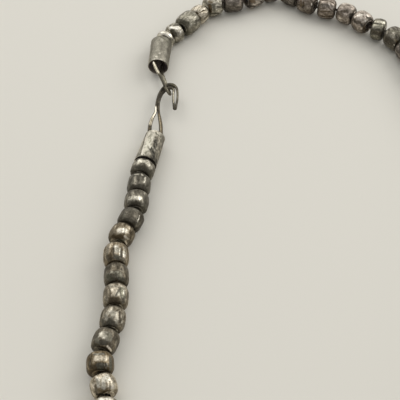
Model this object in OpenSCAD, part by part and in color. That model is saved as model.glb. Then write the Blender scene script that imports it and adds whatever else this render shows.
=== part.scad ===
// Statement necklace of oxidised silver barrel beads on a thread, closed by a wire hook and eye.
// It lies flat as one closed loop. X runs across it, Y runs away from the viewer, Z is up from the table.

/* [Beads] */
// Rim at a bead's end, as a share of the bead's width
rim_share = 0.6; // [0.5:0.01:0.65]
// Radius of the round shoulder beside the rim
shoulder_r = 1.2; // [0.9:0.05:1.25]
// Thickness of the rim
rim_t = 0.35; // [0.2:0.05:0.5]
// Radius of the curve along a bead's side
side_r = 7.5; // [6:0.5:9]
// Diameter of the hole through a bead
hole_d = 2; // [1.8:0.1:2.2]
// Width of a bead in the stretch that completes the loop
plain_w = 8; // [7.6:0.1:8.2]
// How far those widths vary either way
plain_vary = 0.25; // [0:0.05:0.3]
// Distance from bead to bead in that stretch
plain_pitch = 7.6; // [7.2:0.1:8.4]

/* [Clasp] */
// Outer diameters of the eye's tube, at its clasp end and at its bead end
eye_tube_d = [7.6, 8]; // [7.4:0.1:8.2]
// Outer diameters of the hook's tube, at its clasp end and at its bead end
hook_tube_d = [7, 7.9]; // [6.9:0.1:8]
// Wall of the end tubes
tube_wall = 0.45; // [0.35:0.05:0.5]
// Size of the wire of the hook and the eye against the wire found in the photograph
wire_scale = 1; // [0.85:0.05:1]

/* [Thread] */
// Diameter of the thread
thread_d = 0.9; // [0.6:0.1:1]
// Diameter of the knot at each end of the thread
knot_d = 3; // [2.8:0.1:3.2]
// Depth of each knot inside its tube, from the tube's clasp end
knot_depth = 3.2; // [2.8:0.1:3.4]

/* [Fit] */
// Clearance between neighbouring pieces
clear = 0.12; // [0.1:0.01:0.16]

/* [Hidden] */

// Ends of the tubes on the table: where the clasp wire comes out, and where the first bead sits
eye_mouth = [-46, 73];
eye_seat = [-45, 85.5];
hook_mouth = [-46, 37.5];
hook_seat = [-49, 24.5];

// Columns of the two tables of beads: where the bead ends, seen from its tube, and its width
END_X = 0;
END_Y = 1;
WIDTH = 2;

// Beads from the eye's tube to the right
eye_strand = [
    [-42.5, 89.9, 7.4],
    [-37.8, 93.6, 7.6],
    [-32.6, 100.3, 8.6],
    [-28.8, 105.6, 7.4],
    [-22.2, 109.7, 8.2],
    [-13.2, 111, 8.3],
    [-6, 115.5, 8.4],
    [1.5, 117.5, 7.4],
    [8.5, 111.5, 7.2],
    [15, 107, 7.8],
    [23, 105.3, 8.1],
    [29.5, 100.9, 8],
    [34.5, 94.8, 8.4],
    [41, 92.2, 8.4],
    [45.5, 84.5, 8.4],
    [48.5, 76.5, 8.2]
];

// Beads from the hook's tube downwards
hook_strand = [
    [-50.5, 18.5, 8.1],
    [-51, 11, 7.8],
    [-51.5, 3.5, 8.1],
    [-54, -3, 8],
    [-57, -10, 8],
    [-56.5, -18.5, 8.1],
    [-56, -26, 7.8],
    [-56, -34, 7.9],
    [-57, -42, 7.7],
    [-59.5, -49.5, 7.9],
    [-59, -57, 8.1],
    [-56.5, -64, 7.8],
    [-57, -71.5, 7.7]
];

// Turning points of the plain way round, between the last beads of the two strands
way_round = [[57.5, 38], [58.68, -6], [49.5, -60], [21.5, -102], [-18.5, -116.65], [-49, -101], [-57, -84]];
// Steps in each span of that way
way_steps = 12;

// Columns of the clasp's tables: middle of the doubled wire, half its spread, its heading, its roll and the
// diameter of its wire
X = 0;
Y = 1;
Z = 2;
HALF = 3;
HEADING = 4;
ROLL = 5;
WIRE = 6;

// Doubled wire of the hook, from its feet in the tube round the bend to the tip
hook_rows = [
    [-47.2, 32.3, 3.65, 1.35, 77, 0, 1],
    [-47.15, 32.4, 3.65, 2, 77, 0, 1.1],
    [-47.05, 32.9, 3.6, 2.25, 77, 0, 1.2],
    [-46.55, 35, 3.55, 2.25, 77, 0, 1.3],
    [-46.05, 37.5, 3.55, 2.08, 81, 0, 1.35],
    [-46.1, 40, 3.65, 2, 88, 0, 1.4],
    [-46.1, 43, 3.75, 1.85, 90, 0, 1.35],
    [-46, 46, 3.85, 1.35, 88, 0, 1.2],
    [-45.7, 49, 3.9, 0.6, 86, 0, 1],
    [-45.65, 51, 4, 0.42, 88, 0, 0.92],
    [-45.6, 53.3, 4, 0.36, 86, 0, 0.95],
    [-45.3, 55.6, 4.05, 0.34, 79, 0, 1],
    [-44.7, 58.2, 4.05, 0.38, 68, 8, 1.1],
    [-43.45, 60.7, 4.05, 0.46, 50, 22, 1.3],
    [-42.1, 62.05, 4.12, 0.54, 24, 31, 1.4],
    [-40.5, 62.1, 4.12, 0.56, -24, 31, 1.3],
    [-39.5, 60.85, 4.05, 0.6, -66, 20, 1],
    [-39.35, 58.4, 4.05, 0.76, -88, 5, 0.8],
    [-39.35, 55.6, 4.05, 0.74, -91, 0, 0.78],
    [-39.4, 53.1, 4.05, 0.48, -91, 0, 0.88],
    [-39.4, 51, 4.05, 0.32, -91, 0, 0.85]
];

// Doubled wire of the eye, from its feet in the tube to the end that the hook passes through
eye_rows = [
    [-45.6, 78.3, 3.8, 1.2, -92, 125, 1.16],
    [-45.65, 78.2, 3.8, 1.98, -92, 125, 1.2],
    [-45.75, 77.7, 3.8, 2.3, -91, 125, 1.25],
    [-45.95, 75.5, 3.85, 2.36, -88, 125, 1.28],
    [-46.05, 73, 4, 2.4, -82, 124, 1.28],
    [-45.7, 71, 4.1, 2.22, -77, 122, 1.24],
    [-45.1, 69, 4.15, 2.05, -74, 121, 1.17],
    [-43.75, 65.2, 4.15, 1.85, -73, 118, 1.04],
    [-42.55, 61.5, 4.15, 1.85, -73, 118, 0.95],
    [-42.05, 59.9, 4.15, 1.6, -73, 118, 0.95]
];

// Sides of a swept wire or thread, steps between two rows, and steps round the fold at a wire's end
wire_sides = 10;
thread_sides = 8;
row_steps = 3;
fold_steps = 6;

// Ways and directions

function unit(v) = v / norm(v);
function flip(list) = [for (i = [len(list) - 1:-1:0]) list[i]];
function heading(a, b) = atan2(b.y - a.y, b.x - a.x);
function turn(a, b) = abs((a - b + 540) % 360 - 180);

// Point at share t of the smooth span from b to c, with a before it and d after it
function between(a, b, c, d, t) =
    (2 * b + t * (c - a) + t * t * (2 * a - 5 * b + 4 * c - d) + t * t * t * (3 * b - a - 3 * c + d)) / 2;

// Smooth run through a list of rows, whose ends repeat
function smooth(rows, steps) =
    let (last = len(rows) - 1)
    concat(
        [
            for (i = [0:last - 1], k = [0:steps - 1])
                between(rows[max(i - 1, 0)], rows[i], rows[i + 1], rows[min(i + 2, last)], k / steps)
        ],
        [rows[last]]
    );

// The plain way round as a fine line, and the length along it up to each of its points
eye_joints = [for (row = eye_strand) [row[END_X], row[END_Y]]];
hook_joints = [for (row = hook_strand) [row[END_X], row[END_Y]]];
eye_last = len(eye_joints) - 1;
hook_last = len(hook_joints) - 1;
way_rows = concat(
    [eye_joints[eye_last - 1], eye_joints[eye_last]],
    way_round,
    [hook_joints[hook_last], hook_joints[hook_last - 1]]
);
way_line = concat(
    [
        for (i = [1:len(way_rows) - 3], k = [0:way_steps - 1])
            between(way_rows[i - 1], way_rows[i], way_rows[i + 1], way_rows[i + 2], k / way_steps)
    ],
    [hook_joints[hook_last]]
);
way_end = len(way_line) - 1;
way_spans = [for (i = [1:way_end]) norm(way_line[i] - way_line[i - 1])];
way_length = [
    for (i = 0, run = 0; i <= way_end; run = run + (i < way_end ? way_spans[i] : 0), i = i + 1) run
];
way_x = [for (i = [0:way_end]) [way_length[i], way_line[i].x]];
way_y = [for (i = [0:way_end]) [way_length[i], way_line[i].y]];
plain_count = round(way_length[way_end] / plain_pitch);
plain_step = way_length[way_end] / plain_count;
plain_joints = [for (i = [1:plain_count - 1]) [lookup(i * plain_step, way_x), lookup(i * plain_step, way_y)]];
plain_widths = [for (i = [1:plain_count]) plain_w + plain_vary * sin(i * 137)];

// The whole string: joints between beads, from the eye's tube round to the hook's, and the beads' widths
joints = concat([eye_seat], eye_joints, plain_joints, flip(hook_joints), [hook_seat]);
widths = concat(
    [for (row = eye_strand) row[WIDTH]],
    plain_widths,
    flip([for (row = hook_strand) row[WIDTH]])
);
bead_count = len(widths);
first_plain = len(eye_strand);

function bead_heading(i) =
    i < 0 ? heading(eye_mouth, eye_seat)
    : i >= bead_count ? heading(hook_seat, hook_mouth)
    : heading(joints[i], joints[i + 1]);

// Room that a bead leaves before joint k, so that it clears the next bead's rim, or the end of a tube, where
// the string bends
function room(k, width) =
    let (bend = turn(bead_heading(k - 1), bead_heading(k)))
    k == 0 || k == bead_count
        ? max(clear, (clear + width / 2 * sin(bend)) / cos(bend) - rim_t)
        : (clear / 2 + width * rim_share / 2 * sin(bend / 2)) / cos(bend / 2);

// Height of the thread at joint k: half way between the middles of the beads that meet there
function joint_height(k) =
    k == 0 ? (eye_tube_d[1] + widths[0]) / 4
    : k == bead_count ? (hook_tube_d[1] + widths[k - 1]) / 4
    : (widths[k - 1] + widths[k]) / 4;

// Swept solids

function ring(path, i, radius, sides) =
    let (
        last = len(path) - 1,
        before = i == 0 ? path[1] - path[0] : path[i] - path[i - 1],
        after = i == last ? before : path[i + 1] - path[i],
        along = unit(unit(before) + unit(after)),
        across = unit(cross([0, 0, 1], along)),
        up = cross(along, across)
    )
    [for (k = [0:sides - 1]) path[i] + radius * (cos(360 * k / sides) * across + sin(360 * k / sides) * up)];

// Round bar along a path, with a radius for each of its points
module bar(path, radii, sides) {
    last = len(path) - 1;
    skin = [for (i = [0:last], p = ring(path, i, radii[i], sides)) p];
    walls = [
        for (i = [0:last - 1], k = [0:sides - 1], half = [0, 1])
            let (
                a = i * sides + k,
                b = i * sides + (k + 1) % sides
            )
            half == 0 ? [a, a + sides, b + sides] : [a, b + sides, b]
    ];
    caps = [[for (k = [0:sides - 1]) k], [for (k = [sides - 1:-1:0]) last * sides + k]];
    polyhedron(points = skin, faces = concat(walls, caps));
}

// One side of a doubled wire: side is 1 or -1
function wire_point(row, side) =
    let (reach = side * row[HALF], flat = cos(row[ROLL]))
    [
        row[X] - reach * flat * sin(row[HEADING]),
        row[Y] + reach * flat * cos(row[HEADING]),
        row[Z] + reach * sin(row[ROLL])
    ];

// Fold that joins the two sides beyond the last row
function fold(row) =
    let (
        middle = [row[X], row[Y], row[Z]],
        reach = wire_point(row, 1) - middle,
        ahead = row[HALF] * [cos(row[HEADING]), sin(row[HEADING]), 0]
    )
    [
        for (k = [1:fold_steps - 1])
            middle + cos(180 * k / fold_steps) * reach + sin(180 * k / fold_steps) * ahead
    ];

module doubled_wire(rows) {
    fine = smooth(rows, row_steps);
    last_row = rows[len(rows) - 1];
    there = [for (row = fine) wire_point(row, 1)];
    back = flip([for (row = fine) wire_point(row, -1)]);
    round_end = fold(last_row);
    radii = [for (row = fine) wire_scale * row[WIRE] / 2];
    end_radii = [for (p = round_end) wire_scale * last_row[WIRE] / 2];
    bar(concat(there, round_end, back), concat(radii, end_radii, flip(radii)), wire_sides);
}

// Pieces

// Outline of one half of a bead's section, from the hole outwards, with the bead's axis along Y
module bead_section(width, length) {
    barrel = length - 2 * rim_t;
    belt = barrel - 2 * shoulder_r;
    hole_r = hole_d / 2;
    intersection() {
        translate([width / 2 - side_r, 0]) circle(r = side_r, $fn = 96);
        union() {
            translate([hole_r, -barrel / 2]) square([width / 2 - shoulder_r - hole_r, barrel]);
            translate([hole_r, -belt / 2]) square([width / 2 - hole_r, belt]);
            for (end = [-1, 1])
                translate([width / 2 - shoulder_r, end * belt / 2]) circle(r = shoulder_r, $fn = 96);
        }
    }
    translate([hole_r, -length / 2]) square([width * rim_share / 2 - hole_r, length]);
}

// Bead i of the whole string, lying on the table
module bead(i) {
    width = widths[i];
    start = room(i, width);
    stop = norm(joints[i + 1] - joints[i]) - room(i + 1, width);
    color("darkgray")
        translate([joints[i].x, joints[i].y, width / 2])
            rotate([0, 90, bead_heading(i)])
                translate([0, 0, (start + stop) / 2])
                    rotate_extrude($fn = 96) bead_section(width, stop - start);
}

// Slope of a tube's axis, whose underside lies along the table, from its two diameters
function tube_slope(mouth, seat, d) = asin((d[1] - d[0]) / 2 / norm(seat - mouth));

// End tube from its clasp end towards the beads
module end_tube(mouth, seat, d) {
    slope = tube_slope(mouth, seat, d);
    length = norm(seat - mouth) / cos(slope);
    color("gainsboro")
        translate([mouth.x, mouth.y, d[0] / 2 * cos(slope)])
            rotate([0, 90 - slope, heading(mouth, seat)])
                difference() {
                    cylinder(d1 = d[0], d2 = d[1], h = length, $fn = 96);
                    translate([0, 0, -length])
                        cylinder(
                            d1 = 2 * d[0] - d[1] - 2 * tube_wall,
                            d2 = 2 * d[1] - d[0] - 2 * tube_wall,
                            h = 3 * length,
                            $fn = 96
                        );
                }
}

// The knot's radii as it swells from the thread and closes, and the places of those rings in it
knot_steps = [-0.95, -0.7, -0.35, 0, 0.35, 0.7, 0.95];

function in_tube(mouth, seat, d, depth) =
    let (p = mouth + depth * unit(seat - mouth), slope = tube_slope(mouth, seat, d))
    [p.x, p.y, d[0] / 2 * cos(slope) + depth * tan(slope)];

function knot_path(mouth, seat, d) =
    [for (s = knot_steps) in_tube(mouth, seat, d, knot_depth + s * knot_d / 2)];

knot_radii = [for (s = knot_steps) knot_d / 2 * sqrt(1 - s * s)];

module thread() {
    middle = [for (k = [0:bead_count]) [joints[k].x, joints[k].y, joint_height(k)]];
    eye_knot = knot_path(eye_mouth, eye_seat, eye_tube_d);
    hook_knot = knot_path(hook_mouth, hook_seat, hook_tube_d);
    radii = concat(knot_radii, [for (p = middle) thread_d / 2], flip(knot_radii));
    color("saddlebrown") bar(concat(eye_knot, middle, flip(hook_knot)), radii, thread_sides);
}

module hook() {
    color("dimgray") doubled_wire(hook_rows);
}

module eye() {
    color("dimgray") doubled_wire(eye_rows);
}

module plain_beads() {
    for (i = [first_plain:first_plain + plain_count - 1]) bead(i);
}

hook();
eye();
end_tube(hook_mouth, hook_seat, hook_tube_d);  // hook_tube
end_tube(eye_mouth, eye_seat, eye_tube_d);  // eye_tube
thread();
plain_beads();
for (i = [1:16]) {
    bead(i - 1);
}
for (i = [1:13]) {
    bead(bead_count - i);
}
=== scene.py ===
import math

import bpy
import numpy as np
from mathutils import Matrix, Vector, noise


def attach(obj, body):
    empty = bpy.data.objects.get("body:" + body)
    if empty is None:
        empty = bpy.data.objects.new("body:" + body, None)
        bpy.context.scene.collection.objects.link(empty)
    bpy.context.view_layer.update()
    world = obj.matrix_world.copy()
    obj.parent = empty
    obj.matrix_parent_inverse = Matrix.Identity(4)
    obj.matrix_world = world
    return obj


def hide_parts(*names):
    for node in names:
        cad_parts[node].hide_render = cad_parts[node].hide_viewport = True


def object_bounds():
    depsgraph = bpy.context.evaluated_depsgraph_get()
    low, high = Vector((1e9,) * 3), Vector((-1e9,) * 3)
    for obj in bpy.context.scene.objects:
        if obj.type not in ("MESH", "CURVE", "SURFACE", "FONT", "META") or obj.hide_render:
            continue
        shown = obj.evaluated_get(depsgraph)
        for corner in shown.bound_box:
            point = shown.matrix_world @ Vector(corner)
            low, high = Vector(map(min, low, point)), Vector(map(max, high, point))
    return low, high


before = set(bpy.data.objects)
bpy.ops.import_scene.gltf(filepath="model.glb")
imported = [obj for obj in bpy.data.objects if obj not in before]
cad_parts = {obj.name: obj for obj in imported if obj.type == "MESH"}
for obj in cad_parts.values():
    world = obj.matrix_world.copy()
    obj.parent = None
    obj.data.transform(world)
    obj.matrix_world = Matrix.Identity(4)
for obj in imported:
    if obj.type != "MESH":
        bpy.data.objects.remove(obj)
cad_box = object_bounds()

# Statement necklace of oxidised silver barrel beads. Sizes are in millimetres, as in the part's source.
MM = 0.001

# The string: a bead's rim as a share of its width, the rim's thickness and the radius of the drilled hole;
# the beads outside the picture; the room between neighbours; the wall of the tubes
RIM_SHARE = 0.6
RIM_T = 0.35
HOLE_R = 1.0
PLAIN_W = 8.0
PLAIN_VARY = 0.25
PLAIN_VARY_STEP = 137
PLAIN_PITCH = 7.6
CLEAR = 0.12
WALL = 0.45

# The end tubes: the middle of each mouth and seat on the surface, and the diameters there
EYE_MOUTH = np.array([-46.0, 73.0])
EYE_SEAT = np.array([-45.0, 85.5])
EYE_TUBE_D = (7.6, 8.0)
HOOK_MOUTH = np.array([-46.0, 37.5])
HOOK_SEAT = np.array([-49.0, 24.5])
HOOK_TUBE_D = (7.0, 7.9)

# Where each bead ends, seen from its tube, and its width
END_X, END_Y, BEAD_W = range(3)
EYE_STRAND = [
    (-42.5, 89.9, 7.4), (-37.8, 93.6, 7.6), (-32.6, 100.3, 8.6), (-28.8, 105.6, 7.4),
    (-22.2, 109.7, 8.2), (-13.2, 111, 8.3), (-6, 115.5, 8.4), (1.5, 117.5, 7.4),
    (8.5, 111.5, 7.2), (15, 107, 7.8), (23, 105.3, 8.1), (29.5, 100.9, 8),
    (34.5, 94.8, 8.4), (41, 92.2, 8.4), (45.5, 84.5, 8.4), (48.5, 76.5, 8.2),
]
HOOK_STRAND = [
    (-50.5, 18.5, 8.1), (-51, 11, 7.8), (-51.5, 3.5, 8.1), (-54, -3, 8), (-57, -10, 8),
    (-56.5, -18.5, 8.1), (-56, -26, 7.8), (-56, -34, 7.9), (-57, -42, 7.7), (-59.5, -49.5, 7.9),
    (-59, -57, 8.1), (-56.5, -64, 7.8), (-57, -71.5, 7.7),
]

# Points on the way round outside the picture, and the steps between two of them
WAY_ROUND = [(57.5, 38), (58.68, -6), (49.5, -60), (21.5, -102), (-18.5, -116.65), (-49, -101), (-57, -84)]
WAY_STEPS = 12

# The clasp's doubled wires: middle, half the spread, heading, roll and the wire's diameter
X, Y, Z, HALF, HEADING, ROLL, WIRE = range(7)
HOOK_ROWS = [
    (-47.2, 32.3, 3.65, 1.35, 77, 0, 1),
    (-47.15, 32.4, 3.65, 2, 77, 0, 1.1),
    (-47.05, 32.9, 3.6, 2.25, 77, 0, 1.2),
    (-46.55, 35, 3.55, 2.25, 77, 0, 1.3),
    (-46.05, 37.5, 3.55, 2.08, 81, 0, 1.35),
    (-46.1, 40, 3.65, 2, 88, 0, 1.4),
    (-46.1, 43, 3.75, 1.85, 90, 0, 1.35),
    (-46, 46, 3.85, 1.35, 88, 0, 1.2),
    (-45.7, 49, 3.9, 0.6, 86, 0, 1),
    (-45.65, 51, 4, 0.42, 88, 0, 0.92),
    (-45.6, 53.3, 4, 0.36, 86, 0, 0.95),
    (-45.3, 55.6, 4.05, 0.34, 79, 0, 1),
    (-44.7, 58.2, 4.05, 0.38, 68, 8, 1.1),
    (-43.45, 60.7, 4.05, 0.46, 50, 22, 1.3),
    (-42.1, 62.05, 4.12, 0.54, 24, 31, 1.4),
    (-40.5, 62.1, 4.12, 0.56, -24, 31, 1.3),
    (-39.5, 60.85, 4.05, 0.6, -66, 20, 1),
    (-39.35, 58.4, 4.05, 0.76, -88, 5, 0.8),
    (-39.35, 55.6, 4.05, 0.74, -91, 0, 0.78),
    (-39.4, 53.1, 4.05, 0.48, -91, 0, 0.88),
    (-39.4, 51, 4.05, 0.32, -91, 0, 0.85),
]
EYE_ROWS = [
    (-45.6, 78.3, 3.8, 1.2, -92, 125, 1.16),
    (-45.65, 78.2, 3.8, 1.98, -92, 125, 1.2),
    (-45.75, 77.7, 3.8, 2.3, -91, 125, 1.25),
    (-45.95, 75.5, 3.85, 2.36, -88, 125, 1.28),
    (-46.05, 73, 4, 2.4, -82, 124, 1.28),
    (-45.7, 71, 4.1, 2.22, -77, 122, 1.24),
    (-45.1, 69, 4.15, 2.05, -74, 121, 1.17),
    (-43.75, 65.2, 4.15, 1.85, -73, 118, 1.04),
    (-42.55, 61.5, 4.15, 1.85, -73, 118, 0.95),
    (-42.05, 59.9, 4.15, 1.6, -73, 118, 0.95),
]

# Looks of the photographed beads: number of flutes, their depth, their twist from end to end and their
# start, in degrees from the top, how bright the silver is (0 black to 1 bright), how warm it is (-1 olive
# to 1 brown), how strongly it is hammered and how square its shoulders are
FLUTES, DEPTH, TWIST, START, TONE, WARMTH, HAMMER, SQUARE = range(8)
BEAD_LOOKS = {
    "eye_bead_1": (6, 0.1, 20, 10, 0.85, 0, 0.1, 3.4),
    "eye_bead_2": (7, 0.14, 30, 0, 0.7, -0.1, 0.16, 3.4),
    "eye_bead_3": (8, 0.12, -20, 12, 0.6, -0.2, 0.14, 3.6),
    "eye_bead_4": (6, 0.26, 30, 20, 0.78, 0.35, 0.12, 3),
    "eye_bead_5": (7, 0.2, -30, 5, 0.78, -0.1, 0.16, 3.2),
    "eye_bead_6": (8, 0.08, 20, 0, 0.42, -0.1, 0.12, 4.4),
    "eye_bead_7": (7, 0.12, 10, 15, 0.71, 0, 0.12, 3.6),
    "eye_bead_8": (7, 0.12, 20, 0, 0.5, 0, 0.12, 3.4),
    "eye_bead_9": (7, 0.12, -20, 0, 0.44, -0.1, 0.12, 3.4),
    "eye_bead_10": (6, 0.2, 10, 25, 0.5, 0.2, 0.1, 3.2),
    "eye_bead_11": (9, 0.2, -14, 8, 0.56, 0.3, 0.08, 2.7),
    "eye_bead_12": (6, 0.12, 40, 0, 0.72, 0.2, 0.16, 2.3),
    "eye_bead_13": (7, 0.18, 40, 10, 0.72, 0.2, 0.18, 2.4),
    "eye_bead_14": (6, 0.26, 15, 22, 0.5, -0.3, 0.12, 3.4),
    "eye_bead_15": (7, 0.16, -20, 0, 0.48, 0.1, 0.16, 3.2),
    "eye_bead_16": (7, 0.16, 20, 0, 0.44, 0, 0.14, 3.4),
    "hook_bead_1": (7, 0.12, 24, 8, 0.44, 0.1, 0.14, 4),
    "hook_bead_2": (7, 0.12, -26, 14, 0.34, 0, 0.2, 4.2),
    "hook_bead_3": (6, 0.12, 24, 20, 0.42, 0.1, 0.14, 3.4),
    "hook_bead_4": (8, 0.1, 10, 8, 0.2, 0.1, 0.08, 4.2),
    "hook_bead_5": (7, 0.14, 36, 18, 0.45, 0.7, 0.12, 2.8),
    "hook_bead_6": (8, 0.3, 6, 28, 0.6, 0.8, 0.08, 3.4),
    "hook_bead_7": (7, 0.1, 20, 0, 0.34, 0.3, 0.2, 4),
    "hook_bead_8": (6, 0.24, 40, 24, 0.62, 0.5, 0.08, 3.4),
    "hook_bead_9": (6, 0.26, -36, 4, 0.55, 0.4, 0.1, 3),
    "hook_bead_10": (7, 0.12, 20, 10, 0.42, 0.3, 0.2, 3.4),
    "hook_bead_11": (6, 0.14, 30, 20, 0.45, 1, 0.14, 3.4),
    "hook_bead_12": (8, 0.14, 10, 6, 0.84, 0.7, 0.08, 2.7),
    "hook_bead_13": (7, 0.2, 10, 0, 0.7, 0.3, 0.1, 3.4),
}

# Beads whose tarnish is more mauve than olive in the photograph
MAUVE_BEADS = [f"eye_bead_{k}" for k in (6, 7, 8, 9, 10, 11, 12, 13, 16)]

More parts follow.
